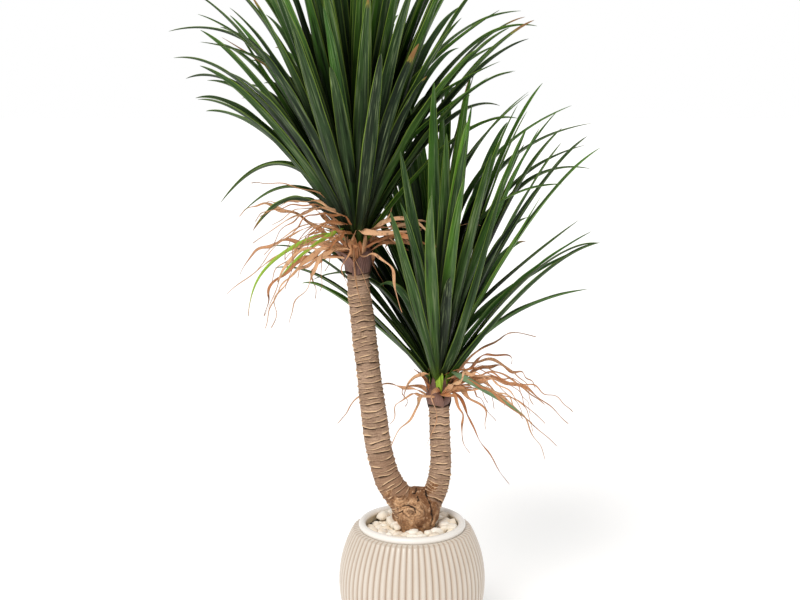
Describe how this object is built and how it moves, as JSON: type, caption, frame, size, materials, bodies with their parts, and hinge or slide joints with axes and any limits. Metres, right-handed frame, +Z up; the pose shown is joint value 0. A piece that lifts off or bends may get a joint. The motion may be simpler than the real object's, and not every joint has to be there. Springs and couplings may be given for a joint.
{
  "type": "potted yucca",
  "caption": "Woody yucca forking into a tall and a short ringed cane, each with a head of sword leaves over dry ones, in a ribbed globe pot topped with white pebbles.",
  "frame": {"origin": "centre of the pot's flat base, on the surface that it stands on", "axes": "+Z up along the plant, +X to the viewer's right with the short cane, -Y towards the viewer"},
  "size_m": [0.857, 0.6683, 1.5199],
  "materials": {
    "pot": "cream glazed ceramic, satin",
    "soil": "dark potting soil",
    "pebbles": "cream white river pebbles",
    "bark": "dry ringed bark",
    "leaves": "waxy dark green leaf",
    "dry_leaves": "papery dry leaf"
  },
  "bodies": {
    "root": {"pot": "pot", "soil": "soil", "pebbles": "pebbles", "trunk": "bark", "tall_head_leaves": "leaves", "short_head_leaves": "leaves", "tall_head_dry_skirt": "dry_leaves", "short_head_dry_skirt": "dry_leaves"}
  },
  "joints": []
}
